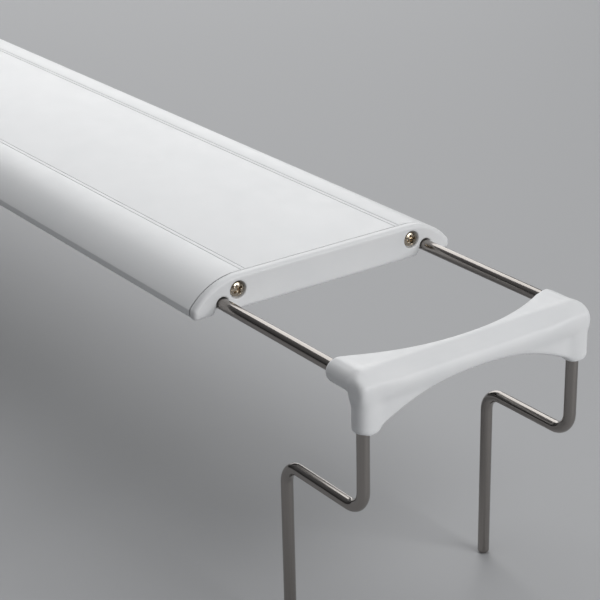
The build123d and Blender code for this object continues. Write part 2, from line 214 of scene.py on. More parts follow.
def tube_faces(rings, size):
    """Faces between rings of equal size, and one across each end."""
    faces = []
    for i in range(rings - 1):
        for k in range(size):
            a = i * size + k
            b = i * size + (k + 1) % size
            faces.append((a, b, b + size, a + size))
    return faces + [tuple(range(size)), tuple(range((rings - 1) * size, rings * size))]


def lathe(profile, origin, axis, segments=64):
    """A turned shape: profile is (distance along axis, radius), and zero radii close the ends."""
    axis = Vector(axis).normalized()
    side = axis.orthogonal().normalized()
    other = axis.cross(side)
    angles = np.linspace(0, 2 * math.pi, segments, endpoint=False)
    circle = np.outer(np.cos(angles), side) + np.outer(np.sin(angles), other)
    points, rings = [], []
    for along, radius in profile:
        centre = np.array(origin, dtype=float) + along * np.array(axis)
        if radius == 0:
            rings.append([len(points)])
            points.append(centre)
        else:
            rings.append(list(range(len(points), len(points) + segments)))
            points.extend(centre + radius * circle)
    if profile[0] == profile[-1]:
        rings[-1] = rings[0]
        points = points[:-segments]
    faces = []
    for a, b in zip(rings, rings[1:]):
        for i in range(segments):
            j = (i + 1) % segments
            if len(a) == 1:
                faces.append((a[0], b[j], b[i]))
            elif len(b) == 1:
                faces.append((a[i], a[j], b[0]))
            else:
                faces.append((a[i], a[j], b[j], b[i]))
    return np.array(points), faces


def sleeve(start, end, outer, inner, bevel):
    """Closed profile of a sleeve with bevelled edges, for lathe."""
    return [(start, outer - bevel), (start + bevel, outer), (end - bevel, outer), (end, outer - bevel),
            (end, inner + bevel), (end - bevel, inner), (start + bevel, inner), (start, inner + bevel),
            (start, outer - bevel)]


def block(low, high, bevel, segments=2):
    """A block with rounded edges."""
    low, high = np.array(low, dtype=float), np.array(high, dtype=float)
    made = bmesh.new()
    bmesh.ops.create_cube(made, size=1)
    bmesh.ops.scale(made, vec=high - low, verts=made.verts)
    bmesh.ops.bevel(made, geom=made.edges[:], offset=bevel, segments=segments, profile=0.5, affect="EDGES")
    made.verts.index_update()
    points = np.array([tuple(v.co) for v in made.verts]) + (low + high) / 2
    faces = [tuple(v.index for v in face.verts) for face in made.faces]
    made.free()
    return points, faces


def arc_path(corners, radius, step=5.0):
    """Points along a path of straight runs whose corners are rounded to the given radius."""
    points = [Vector(corners[0])]
    for before, corner, after in zip(corners, corners[1:], corners[2:]):
        before, corner, after = Vector(before), Vector(corner), Vector(after)
        back = (before - corner).normalized()
        ahead = (after - corner).normalized()
        half = back.angle(ahead) / 2
        centre = corner + (back + ahead).normalized() * (radius / math.sin(half))
        start = corner + back * (radius / math.tan(half)) - centre
        turn = math.pi - 2 * half
        count = max(2, math.ceil(math.degrees(turn) / step))
        axis = ahead.cross(back).normalized()
        for i in range(count + 1):
            points.append(centre + Matrix.Rotation(turn * i / count, 3, axis) @ start)
    return points + [Vector(corners[-1])]


def wire_stations(path, radius, rounding):
    """Centres and radii of the rings along a wire with rounded ends."""
    first = (path[1] - path[0]).normalized()
    last = (path[-1] - path[-2]).normalized()
    angles = [math.radians(a) for a in (0, 22.5, 45, 67.5, 90)]
    ends = [(rounding * (1 - math.cos(a)), radius - rounding * (1 - math.sin(a))) for a in angles]
    return ([(path[0] + first * inset, size) for inset, size in ends]
            + [(point, radius) for point in path[1:-1]]
            + [(path[-1] - last * inset, size) for inset, size in reversed(ends)])


def wire(corners, radius, bend, rounding, segments=40):
    """A round wire along a bent path with rounded ends: its shape, and each point's place in its run."""
    path = arc_path(corners, bend)
    stations = wire_stations(path, radius, rounding)
    side = (path[1] - path[0]).normalized().orthogonal().normalized()
    points, run, along = [], [], 0.0
    for i, (centre, size) in enumerate(stations):
        before = stations[max(i - 1, 0)][0]
        after = stations[min(i + 1, len(stations) - 1)][0]
        direction = (after - before).normalized()
        side = (side - direction * side.dot(direction)).normalized()
        other = direction.cross(side)
        along += (centre - before).length
        for k in range(segments):
            angle = 2 * math.pi * k / segments
            points.append(tuple(centre + (side * math.cos(angle) + other * math.sin(angle)) * size))
            run.append((size * MM * math.cos(angle), size * MM * math.sin(angle), along * MM))
    return (np.array(points), tube_faces(len(stations), segments)), np.array(run)


# ---------------------------------------------------------------- outlines
def rounded_outline(corners, steps=4):
    """Closed outline through (across, up, fillet radius) corners; a zero radius keeps the corner."""
    outline = []
    count = len(corners)
    for i, (y, z, radius) in enumerate(corners):
        corner = Vector((y, z))
        if radius == 0:
            outline.append((y, z))
            continue
        back = (Vector(corners[i - 1][:2]) - corner).normalized()
        ahead = (Vector(corners[(i + 1) % count][:2]) - corner).normalized()
        half = back.angle(ahead) / 2
        centre = corner + (back + ahead).normalized() * (radius / math.sin(half))
        start = corner + back * (radius / math.tan(half)) - centre
        sweep = math.pi - 2 * half
        if back.cross(ahead) > 0:
            sweep = -sweep
        first = math.atan2(start.y, start.x)
        for k in range(steps + 1):
            angle = first + sweep * k / steps
            outline.append((centre.x + radius * math.cos(angle), centre.y + radius * math.sin(angle)))
    return outline


def arc_points(centre, radius, start, end, count):
    """Points of an arc, with angles in degrees."""
    angles = np.radians(np.linspace(start, end, count))
    return [(centre[0] + radius * math.cos(a), centre[1] + radius * math.sin(a)) for a in angles]


def shrunk(outline, amount):
    """A closed outline moved to its left by an amount, which is inwards if it runs anticlockwise."""
    points = np.array(outline)
    ahead = np.roll(points, -1, axis=0) - points
    ahead /= np.linalg.norm(ahead, axis=1)[:, None]
    behind = np.roll(ahead, 1, axis=0)
    normal = np.stack([-ahead[:, 1], ahead[:, 0]], axis=1)
    before = np.stack([-behind[:, 1], behind[:, 0]], axis=1)
    middle = normal + before
    middle /= (middle * normal).sum(axis=1)[:, None]
    return points + middle * amount


def prism(outlines, x0, x1, edge, steps=3):
    """Extrude an anticlockwise outline with clockwise holes along X, with rounded end edges."""
    turns = [math.radians(a) for a in np.linspace(0, 90, steps + 1)]
    insets = [(edge * (1 - math.sin(a)), edge * (1 - math.cos(a))) for a in turns]
    stations = [(x0 + along, inset) for along, inset in reversed(insets)]
    stations += [(x1 - along, inset) for along, inset in insets]
    points, faces, first, last = [], [], [], []
    for outline in outlines:
        size = len(outline)
        rings = []
        for x, inset in stations:
            rings.append(range(len(points), len(points) + size))
            points += [(x, y, z) for y, z in shrunk(outline, inset)]
        for a, b in zip(rings, rings[1:]):
            for i in range(size):
                j = (i + 1) % size
                faces.append((a[i], b[i], b[j], a[j]))
        first.append(rings[0])
        last.append(rings[-1])
    for rings in (first, last):
        ends = [i for one in rings for i in one]
        loops = [[Vector((points[i][1], points[i][2], 0)) for i in one] for one in rings]
        faces += [tuple(ends[i] for i in triangle) for triangle in tessellate_polygon(loops)]
    return np.array(points), faces


def profile_half(groove_depth=GROOVE_DEPTH):
    """Right half of the housing's outline, from the middle of the top round to the bay's roof."""
    corners = [(0, TOP_Z, 0)]
    for y in GROOVES:
        half = GROOVE_WIDTH / 2
        floor = TOP_Z - groove_depth
        corners += [(y - half, TOP_Z, 0.08), (y - half, floor, 0.12), (y + half, floor, 0.12),
                    (y + half, TOP_Z, 0.08)]
    centre = (FLAT_HALF_WIDTH, TOP_Z - SIDE_RADIUS)
    end = math.degrees(math.acos((HALF_WIDTH - FLAT_HALF_WIDTH) / SIDE_RADIUS))
    corners += [(y, z, 0) for y, z in arc_points(centre, SIDE_RADIUS, 90, end, 28)]
    corners[-1] = (corners[-1][0], corners[-1][1], 0.25)
    corners += [(HALF_WIDTH, HOUSING_BOTTOM, 0.5), (ROD_Y + CHANNEL_SLOT, HOUSING_BOTTOM, 0.15)]
    gap = math.degrees(math.asin(CHANNEL_SLOT / CHANNEL_RADIUS))
    channel = arc_points((ROD_Y, ROD_Z), CHANNEL_RADIUS, gap - 90, 270 - gap, 30)
    corners += [(y, z, 0) for y, z in channel]
    corners += [(ROD_Y - CHANNEL_SLOT, HOUSING_BOTTOM, 0.15), (BAY_HALF_WIDTH, HOUSING_BOTTOM, 0.3),
                (BAY_HALF_WIDTH, SLOT_LOW, 0.15), (SLOT_Y, SLOT_LOW, 0.1), (SLOT_Y, SLOT_HIGH, 0.1),
                (BAY_HALF_WIDTH, SLOT_HIGH, 0.15), (BAY_HALF_WIDTH, BAY_ROOF, 0.5), (0, BAY_ROOF, 0)]
    return corners


def wing_hollow():
    """Outline of the hollow in the right wing, run clockwise."""
    radius = SIDE_RADIUS - WING_WALL
    floor = HOUSING_BOTTOM + WING_WALL
    centre = (FLAT_HALF_WIDTH, TOP_Z - SIDE_RADIUS)
    start = math.degrees(math.acos((WING_INNER_Y - centre[0]) / radius))
    end = math.degrees(math.asin((floor - centre[1]) / radius))
    curve = arc_points(centre, radius, start, end, 12)
    corners = [(y, z, 0) for y, z in curve] + [(WING_INNER_Y, floor, 0.4)]
    return rounded_outline(corners)


def housing():
    """The extrusion with its grooves, bay, lens slots, screw ports, rod channels and hollows."""
    half = profile_half()
    mirrored = [(-y, z, radius) for y, z, radius in reversed(half[1:-1])]
    outline = rounded_outline(half + mirrored)[::-1]
    hollow = wing_hollow()
    port = arc_points((SCREW_Y, SCREW_Z), SCREW_PORT, 360, 0, 33)[:-1]
    holes = [hollow, [(-y, z) for y, z in reversed(hollow)], port, [(-y, z) for y, z in reversed(port)]]
    return prism([outline] + holes, -HOUSING_END, HOUSING_END, 0.12)


# ---------------------------------------------------------------- smooth solids from distance fields
CAP_GRID = 0.35
BRIDGE_GRID = 0.4
SCREW_GRID = 0.08


def round_max(a, b, radius):
    """Where two solids overlap, with the edge between them rounded to a radius."""
    corner = np.hypot(np.maximum(a + radius, 0), np.maximum(b + radius, 0))
    return np.minimum(-radius, np.maximum(a, b)) + corner


def smooth_min(a, b, width):
    """Two solids together, with a soft hollow between them."""
    near = np.maximum(width - np.abs(a - b), 0) / width
    return np.minimum(a, b) - near * near * width / 4


def bar_field(across, along, radius, start, end, rounding):
    """A round bar: distance across from its axis, place along it, and rounded ends."""
    return round_max(across - radius, np.abs(along - (start + end) / 2) - (end - start) / 2, rounding)


def box_field(x, y, z, low, high, rounding):
    """A block with rounded edges."""
    half = (np.array(high) - np.array(low)) / 2 - rounding
    middle = (np.array(high) + np.array(low)) / 2
    q = [np.abs(v - m) - h for v, m, h in zip((x, y, z), middle, half)]
    outside = np.sqrt(sum(np.maximum(v, 0) ** 2 for v in q))
    return outside + np.minimum(np.maximum(np.maximum(q[0], q[1]), q[2]), 0) - rounding


def settle(points, field, step, rounds):
    """Move points onto the surface of a field."""
    small = step * 0.05
    for _ in range(rounds):
        slope = np.empty_like(points)
        for axis in range(3):
            shift = np.zeros(3)
            shift[axis] = small
            ahead, behind = points + shift, points - shift
            slope[:, axis] = (field(*ahead.T) - field(*behind.T)) / (2 * small)
        size = np.maximum((slope**2).sum(axis=1), 0.05)
        move = slope * (field(*points.T) / size)[:, None]
        length = np.linalg.norm(move, axis=1, keepdims=True)
        points = points - move * np.minimum(1, 0.7 * step / np.maximum(length, 1e-9))
    return points


def relax(points, faces, amount):
    """Move each point part of the way to the middle of its neighbours."""
    total = np.zeros_like(points)
    count = np.zeros(len(points))
    for i in range(4):
        a, b = faces[:, i], faces[:, (i + 1) % 4]
        np.add.at(total, a, points[b])
        np.add.at(count, a, 1)
    return points + amount * (total / count[:, None] - points)


def mixed_cells(inside):
    """Number of each cell that has corners both inside and outside, or -1, and those cells' places."""
    cells = np.array(inside.shape) - 1
    filled = np.zeros(cells, dtype=np.int8)
    for dx, dy, dz in itertools.product((0, 1), repeat=3):
        filled += inside[dx:dx + cells[0], dy:dy + cells[1], dz:dz + cells[2]]
    mixed = (filled > 0) & (filled < 8)
    ids = np.full(cells, -1)
    ids[mixed] = np.arange(mixed.sum())
    return ids, np.argwhere(mixed)


def crossing_quads(inside, ids, axis):
    """One face round each grid edge along an axis that crosses the surface."""
    across, up = (axis + 1) % 3, (axis + 2) % 3
    first = np.take(inside, range(ids.shape[axis]), axis)
    second = np.take(inside, range(1, ids.shape[axis] + 1), axis)
    edges = np.argwhere(first != second)
    ring_of_cells = []
    for back_across, back_up in ((1, 1), (0, 1), (0, 0), (1, 0)):
        cell = edges.copy()
        cell[:, across] -= back_across
        cell[:, up] -= back_up
        ring_of_cells.append(ids[tuple(cell.T)])
    quads = np.stack(ring_of_cells, axis=1)
    outward = first[tuple(edges.T)]
    quads[~outward] = quads[~outward][:, ::-1]
    return quads


def surface_net(field, low, high, step, softening=0):
    """Closed mesh, of even squares, where field(x, y, z) is zero; softening rounds it off further."""
    axes = [np.arange(a - 2 * step, b + 2.5 * step, step) for a, b in zip(low, high)]
    inside = field(*np.meshgrid(*axes, indexing="ij")) < 0
    ids, places = mixed_cells(inside)
    points = np.array([axis[0] for axis in axes]) + (places + 0.5) * step
    faces = np.concatenate([crossing_quads(inside, ids, axis) for axis in range(3)])
    points = settle(points, field, step, 3)
    for _ in range(3):
        points = settle(relax(points, faces, 0.5), field, step, 2)
    for _ in range(softening):
        points = relax(points, faces, 0.5)
    return points, faces


# ---------------------------------------------------------------- end caps
def cap_profile(y, z):
    """Section of the cap: flat top, curved sides, and rounded lower corners."""
    side = np.abs(y)
    curve = np.hypot(side - FLAT_HALF_WIDTH, z - TOP_Z + SIDE_RADIUS) - SIDE_RADIUS
    top = np.where(side < FLAT_HALF_WIDTH, z - TOP_Z, curve)
    return round_max(round_max(top, side - HALF_WIDTH, 0.5), CAP_BOTTOM - z, 1.1)


def cap_field(spigot, for_jack):
    """Distance field of the end cap at +X, with a tray of the given length behind it."""
    tray_half = BAY_HALF_WIDTH - SPIGOT_CLEARANCE
    low, high = SPIGOT_BOTTOM, SPIGOT_TOP
    back = FLANGE_X - spigot

    def field(x, y, z):
        side = np.abs(y)
        solid = round_max(cap_profile(y, z), x - FACE_X, 1.3)
        solid = round_max(solid, FLANGE_X - x, 0.15)
        notch = np.where(z > ROD_Z, np.hypot(side - ROD_Y, z - ROD_Z), np.abs(side - ROD_Y)) - NOTCH_RADIUS
        flare = 0.5 + 1.5 * np.clip((ROD_Z - z) / 2.5, 0, 1)
        solid = round_max(solid, -notch, flare)
        tray = box_field(x, y, z, (back, -tray_half, low), (FLANGE_X + 1, tray_half, high), 0.3)
        hollow = box_field(x, y, z, (back + SPIGOT_WALL, SPIGOT_WALL - tray_half, low + SPIGOT_FLOOR),
                           (FLANGE_X, tray_half - SPIGOT_WALL, high + 2), 0.5)
        solid = np.minimum(solid, np.maximum(tray, -hollow))
        from_screw = np.hypot(side - SCREW_Y, z - SCREW_Z)
        pocket = np.maximum(from_screw - SCREW_POCKET, SCREW_SEAT - x)
        solid = round_max(solid, -pocket, 0.4)
        solid = np.maximum(solid, SCREW_HOLE - from_screw)
        if for_jack:
            bore = np.maximum(np.hypot(y, z - JACK_Z) - JACK_RADIUS, back + 5.0 - x)
            exit_slot = box_field(x, y, z, (back - 1, -3.5, ROD_Z + 0.5), (back + 2.4, 3.5, high + 1), 0.2)
            solid = np.maximum(np.maximum(solid, -bore), -exit_slot)
        return solid

    return field


def end_cap(spigot, for_jack):
    """Mesh of the end cap at +X."""
    field = cap_field(spigot, for_jack)
    low = (FLANGE_X - spigot, -HALF_WIDTH, CAP_BOTTOM)
    return surface_net(field, low, (FACE_X, HALF_WIDTH, TOP_Z), CAP_GRID)


# ---------------------------------------------------------------- bridges
COLLAR_RADIUS = 3.75       # collars round the rods, from the bridge's inner end
COLLAR_DROP = 0.5
LEG_COLLAR_RADIUS = 3.85   # collars round the legs
LEG_COLLAR_OFFSET = 0.8
NOSE_REACH = 4.9           # rounded outer edge: an oval with a sloping face, fuller at its ends
NOSE_HALF_HEIGHT = 4.8
NOSE_DROP = 2.1
NOSE_SLOPE = (0.5, 0.866)  # the sloping face's normal, along X and up
NOSE_SLOPE_OFFSET = 2.3
NOSE_FULLNESS = 2.4
FULLNESS_START = 24.0      # across the bridge, and the width that it grows over
FULLNESS_WIDTH = 13.0
NOSE_BACK = 2.8
OUTER_LIMIT = 4.75
WEB_ARC = 80.0             # waist of the level web and of the upright skirt
WAIST_X = 68.6 - 72.5
WAIST_Z = -5.0
WEB_TOP = 3.3
WEB_THICKNESS = 4.5
WEB_OUTER = 3.6


def slab(along, top, thickness):
    """A level slab: distance along its normal, its top and its thickness."""
    return np.abs(along - top + thickness / 2) - thickness / 2


def nose_field(x, z, off, skirt_arc):
    """The bridge's rounded outer edge."""
    fullness = np.clip((off + ROD_Y - FULLNESS_START) / FULLNESS_WIDTH, 0, 1) ** 2
    oval = (np.hypot(x / NOSE_REACH, (z + NOSE_DROP) / NOSE_HALF_HEIGHT) - 1) * NOSE_REACH
    slope = NOSE_SLOPE[0] * x + NOSE_SLOPE[1] * z - NOSE_SLOPE_OFFSET - NOSE_FULLNESS * fullness
    nose = round_max(oval, slope, 2.6)
    nose = round_max(round_max(nose, off - COLLAR_RADIUS - 0.1, 2.6), -x - NOSE_BACK, 1.5)
    return round_max(nose, -skirt_arc, 1.1)


def bridge_field(x, y, z):
    """The bridge at +X, measured from the leg's axis and the rods' height."""
    x, z = x - LEG_X, z - ROD_Z
    off = np.abs(y) - ROD_Y
    start = BRIDGE_LOW[0] - LEG_X
    foot = BRIDGE_LOW[2] - ROD_Z + 0.1
    rod_collar = bar_field(np.hypot(off, z + COLLAR_DROP), x, COLLAR_RADIUS, start, 1, 1.6)
    across = np.hypot(x - LEG_COLLAR_OFFSET, off)
    leg_collar = bar_field(across, z, LEG_COLLAR_RADIUS, foot, -3, 0.9)
    web_arc = np.hypot(x - WAIST_X + WEB_ARC, y) - WEB_ARC
    web = round_max(np.maximum(slab(z, WEB_TOP, WEB_THICKNESS), off), x + 0.3, 1.5)
    web = np.maximum(round_max(web, -web_arc, 1.1), start + 1.2 - x)
    skirt_arc = np.hypot(z - WAIST_Z + WEB_ARC, y) - WEB_ARC
    skirt = np.maximum(np.maximum(slab(x, WEB_OUTER, WEB_THICKNESS), off), z)
    skirt = np.maximum(round_max(skirt, -skirt_arc, 1.1), foot + 0.3 - z)
    skirt = smooth_min(smooth_min(rod_collar, leg_collar, 1.0), skirt, 2.4)
    top = smooth_min(web, nose_field(x, z, off, skirt_arc), 3.0)
    solid = round_max(smooth_min(skirt, top, 1.2), x - OUTER_LIMIT, 1.0)
    rod_socket = np.maximum(np.hypot(off, z) - WIRE_RADIUS - 0.05, x + 4)
    leg_socket = np.maximum(np.hypot(x, off) - WIRE_RADIUS - 0.05, z + 2.5)
    return round_max(solid, -np.minimum(rod_socket, leg_socket), 0.3)


def bridge():
    """Mesh of the bridge at +X."""
    return surface_net(bridge_field, BRIDGE_LOW - 0.5, BRIDGE_HIGH + 0.5, BRIDGE_GRID, 10)


# ---------------------------------------------------------------- cap screws
HEAD_RADIUS = 2.6
HEAD_HEIGHT = 1.7
DOME_RADIUS = 5.2
RECESS_REACH = 1.8         # cross recess at the head's top; it narrows as it goes down
RECESS_HALF_WIDTH = 0.5
RECESS_CONE = 1.05
RECESS_DEPTH = 1.35
SHANK_LENGTH = 12.0
SHANK_CORE = 0.95
THREAD_PITCH = 1.1
THREAD_POINT = 2.5         # length of the tapered point
SCREW_TURNS = {"front": 28, "back": 12}


def head_field(x, y, z):
    """Domed screw head with a cross recess: x is along the screw, zero at the seat."""
    across = np.hypot(y, z)
    dome = np.hypot(x - HEAD_HEIGHT + DOME_RADIUS, across) - DOME_RADIUS
    solid = round_max(round_max(dome, across - HEAD_RADIUS, 0.35), -x, 0.1)
    depth = np.maximum(HEAD_HEIGHT - x, 0)
    reach = RECESS_REACH - 0.3 * depth
    width = RECESS_HALF_WIDTH - 0.06 * depth
    arm_y = np.maximum(np.abs(y) - width, np.abs(z) - reach)
    arm_z = np.maximum(np.abs(z) - width, np.abs(y) - reach)
    cone = across - (RECESS_CONE - 0.4 * depth)
    recess = smooth_min(smooth_min(arm_y, arm_z, 0.15), cone, 0.15)
    recess = np.maximum(recess, HEAD_HEIGHT - RECESS_DEPTH - x)
    return round_max(solid, -recess, 0.08)


def threaded_shank(length, core, outer, pitch):
    """A screw's shank below its seat, with a helical thread and a tapered point."""
    segments, rings = 24, int(length / pitch * 8)
    points = []
    for i in range(rings + 1):
        along = length * i / rings
        taper = min(1.0, (length - along) / THREAD_POINT + 0.25)
        for k in range(segments):
            phase = (along / pitch - k / segments) % 1
            ridge = max(0.0, 1 - abs(phase - 0.5) * 4)
            radius = (core + (outer - core) * ridge) * taper
            angle = 2 * math.pi * k / segments
            points.append((-along, radius * math.cos(angle), radius * math.sin(angle)))
    return np.array(points), tube_faces(rings + 1, segments)


def cap_screw(turn):
    """One screw at the origin with its head towards +X, its recess turned by some degrees."""
    low = (0, -HEAD_RADIUS, -HEAD_RADIUS)
    high = (HEAD_HEIGHT, HEAD_RADIUS, HEAD_RADIUS)
    head = surface_net(head_field, low, high, SCREW_GRID)
    shank = threaded_shank(SHANK_LENGTH, SHANK_CORE, SCREW_PORT, THREAD_PITCH)
    points, faces = joined([head, shank])
    turning = np.array(Matrix.Rotation(math.radians(turn), 3, "X"))
    return points @ turning.T, faces


# ---------------------------------------------------------------- LED board
def stack(outlines):
    """A closed shape through level outlines of equal size: each is (outline in XY, z)."""
    points = [(x, y, z) for outline, z in outlines for x, y in outline]
    return np.array(points), tube_faces(len(outlines), len(outlines[0][0]))


def pill(x, y, radius, steps=3):
    """Rectangle with rounded corners, given half its length and width."""
    return rounded_outline([(-x, -y, radius), (x, -y, radius), (x, y, radius), (-x, y, radius)], steps)


def led_package():
    """White housing of one LED, hanging down from the board, with a window in its face."""
    return stack([(pill(2.8, 1.45, 0.1), 0), (pill(LED_HALF_LENGTH, 1.5, 0.1), -0.1),
                  (pill(LED_HALF_LENGTH, 1.5, 0.1), -0.82), (pill(2.77, 1.42, 0.1), -0.9),
                  (pill(2.35, 1.12, 0.4), -0.9), (pill(2.15, 0.98, 0.35), -0.6)])


def led_phosphor():
    """Slightly domed yellow filling of one LED's window."""
    return stack([(pill(2.2, 1.0, 0.35), -0.6), (pill(2.26, 1.06, 0.38), -0.74),
                  (pill(1.7, 0.75, 0.3), -0.8), (pill(0.8, 0.3, 0.2), -0.82)])


def led_terminals():
    """Tinned feet and solder at both ends of one LED."""
    return joined([block((-3.25, -1.1, -0.28), (-2.8, 1.1, 0), 0.08),
                   block((2.8, -1.1, -0.28), (3.25, 1.1, 0), 0.08)])


def chip_resistor():
    """Black body of one chip resistor, hanging down from the board."""
    return block((-1.25, -0.78, -0.55), (1.25, 0.78, 0), 0.06)


def chip_ends():
    """Tinned end caps of one chip resistor."""
    return joined([block((-RESISTOR_HALF_LENGTH, -0.8, -0.6), (-1.2, 0.8, 0), 0.1),
                   block((1.2, -0.8, -0.6), (RESISTOR_HALF_LENGTH, 0.8, 0), 0.1)])


# ---------------------------------------------------------------- power inlet
def jack_body():
    """Round black shell of the power inlet, with its flange and bore."""
    length = JACK_HIGH[0] - JACK_LOW[0]
    flange = [(0, CONTACT_RADIUS), (0, 4.5), (0.12, 4.75), (0.4, JACK_FLANGE_RADIUS),
              (JACK_FLANGE, JACK_FLANGE_RADIUS)]
    barrel = [(JACK_FLANGE, JACK_RADIUS), (length - 0.3, JACK_RADIUS), (length, JACK_RADIUS - 0.3),
              (length, JACK_TAIL_RADIUS), (JACK_BORE_DEPTH, JACK_TAIL_RADIUS)]
    bore = [(JACK_BORE_DEPTH, CONTACT_RADIUS), (3, CONTACT_RADIUS), (3, JACK_BORE), (0.25, JACK_BORE)]
    profile = flange + barrel + bore + flange[:1]
    return lathe(profile, (JACK_LOW[0], 0, JACK_Z), (1, 0, 0))


def jack_pin():
    """Centre pin of the inlet, with a rounded nose and a thinner tail."""
    nose = [(0, 0), (0, 0.55), (0.12, 0.85), (0.4, 1.0)]
    floor = CONTACT_HIGH[0] - PIN_LOW[0]
    end = PIN_HIGH[0] - PIN_LOW[0]
    tail = [(floor, 1.0), (floor, JACK_TAIL_RADIUS), (end - 0.1, JACK_TAIL_RADIUS), (end, 0.6), (end, 0)]
    return lathe(nose + tail, (PIN_LOW[0], 0, JACK_Z), (1, 0, 0), 32)


def lead_path(start, side):
    """Corners of one lead's path from the inlet to the board's end."""
    bend_x = start[0] + LEAD_RUN
    y = side * LEAD_Y
    z = BOARD_LOW[2] - LEAD_RADIUS
    end = (BOARD_LOW[0] + LEAD_OVERLAP, y, z)
    return [start, (bend_x, start[1], start[2]), (bend_x + LEAD_RUN, y, z), end]


# ---------------------------------------------------------------- materials
def new_material(name, roughness, metallic=0.0):
    """A principled material, with the noise-driven parts added by the calls that follow."""
    material = bpy.data.materials.new(name)
    material.use_nodes = True
    shader = material.node_tree.nodes["Principled BSDF"]
    shader.inputs["Roughness"].default_value = roughness
    shader.inputs["Metallic"].default_value = metallic
    return material


def noise(material, scale, detail=2.0, stretch=(1, 1, 1), along_run=False):
    """Noise with a number of features per metre, over the piece or along a wire's run."""
    nodes, links = material.node_tree.nodes, material.node_tree.links
    if along_run:
        source = nodes.new("ShaderNodeAttribute")
        source.attribute_name = "run"
        place = source.outputs["Vector"]
    else:
        place = nodes.new("ShaderNodeTexCoord").outputs["Object"]
    mapping = nodes.new("ShaderNodeMapping")
    mapping.inputs["Scale"].default_value = [scale * s for s in stretch]
    texture = nodes.new("ShaderNodeTexNoise")
    texture.inputs["Scale"].default_value = 1.0
    texture.inputs["Detail"].default_value = detail
    links.new(place, mapping.inputs["Vector"])
    links.new(mapping.outputs["Vector"], texture.inputs["Vector"])
    return texture.outputs["Fac"]


def colour_between(material, value, dark, light):
    """Base colour that varies between two colours."""
    nodes, links = material.node_tree.nodes, material.node_tree.links
    ramp = nodes.new("ShaderNodeValToRGB")
    ramp.color_ramp.elements[0].position = 0.3
    ramp.color_ramp.elements[0].color = (*dark, 1)
    ramp.color_ramp.elements[1].position = 0.7
    ramp.color_ramp.elements[1].color = (*light, 1)
    links.new(value, ramp.inputs["Fac"])
    links.new(ramp.outputs["Color"], nodes["Principled BSDF"].inputs["Base Color"])


def roughness_between(material, value, low, high):
    """Roughness that varies between two values."""
    nodes, links = material.node_tree.nodes, material.node_tree.links
    spread = nodes.new("ShaderNodeMapRange")
    spread.inputs["From Min"].default_value = 0.3
    spread.inputs["From Max"].default_value = 0.7
    spread.inputs["To Min"].default_value = low
    spread.inputs["To Max"].default_value = high
    links.new(value, spread.inputs["Value"])
    links.new(spread.outputs["Result"], nodes["Principled BSDF"].inputs["Roughness"])


def relief(material, value, depth):
    """Bump of a depth in millimetres, on top of any bump already there."""
    nodes, links = material.node_tree.nodes, material.node_tree.links
    normal = nodes["Principled BSDF"].inputs["Normal"]
    bump = nodes.new("ShaderNodeBump")
    bump.inputs["Strength"].default_value = 1.0
    bump.inputs["Distance"].default_value = depth * MM
    if normal.is_linked:
        links.new(normal.links[0].from_socket, bump.inputs["Normal"])
    links.new(value, bump.inputs["Height"])
    links.new(bump.outputs["Normal"], normal)


def powder_coat():
    """Satin white coating with fine orange peel and faint lines from the extrusion die."""
    material = new_material("powder_coat_white", 0.4)
    colour_between(material, noise(material, 35, 3), (0.815, 0.824, 0.832), (0.835, 0.842, 0.848))
    roughness_between(material, noise(material, 180, 4), 0.36, 0.46)
    relief(material, noise(material, 900, 3), 0.010)
    relief(material, noise(material, 500, 2, (0.004, 1, 1)), 0.006)
    return material


def moulded_white():
    """Satin white plastic with the fine spark texture of its mould."""
    material = new_material("moulded_plastic_white", 0.42)
    colour_between(material, noise(material, 50, 3), (0.79, 0.80, 0.81), (0.83, 0.835, 0.84))
    roughness_between(material, noise(material, 400, 4), 0.38, 0.5)
    relief(material, noise(material, 2600, 3), 0.012)
    return material


def drawn_steel():
    """Bright drawn stainless wire with fine streaks along its length."""
    material = new_material("drawn_stainless_wire", 0.2, 1.0)
    streaks = noise(material, 7000, 3, (1, 1, 0.004), along_run=True)
    colour_between(material, streaks, (0.29, 0.268, 0.25), (0.345, 0.325, 0.308))
    roughness_between(material, noise(material, 3000, 3, (1, 1, 0.01), along_run=True), 0.15, 0.22)
    relief(material, streaks, 0.0003)
    return material


def plated(name, dark, light, low, high, depth=0.004):
    """Plated metal with small blotches and fine scratches."""
    material = new_material(name, low, 1.0)
    colour_between(material, noise(material, 900, 4), dark, light)
    roughness_between(material, noise(material, 1800, 4), low, high)
    relief(material, noise(material, 3000, 3, (1, 1, 0.1)), depth)
    return material


def moulded(name, dark, light, low, high, grain=2400, depth=0.01):
    """Plastic or rubber with small changes of colour and a fine grain."""
    material = new_material(name, low)
    colour_between(material, noise(material, 120, 3), dark, light)
    roughness_between(material, noise(material, 600, 3), low, high)
    relief(material, noise(material, grain, 3), depth)
    return material


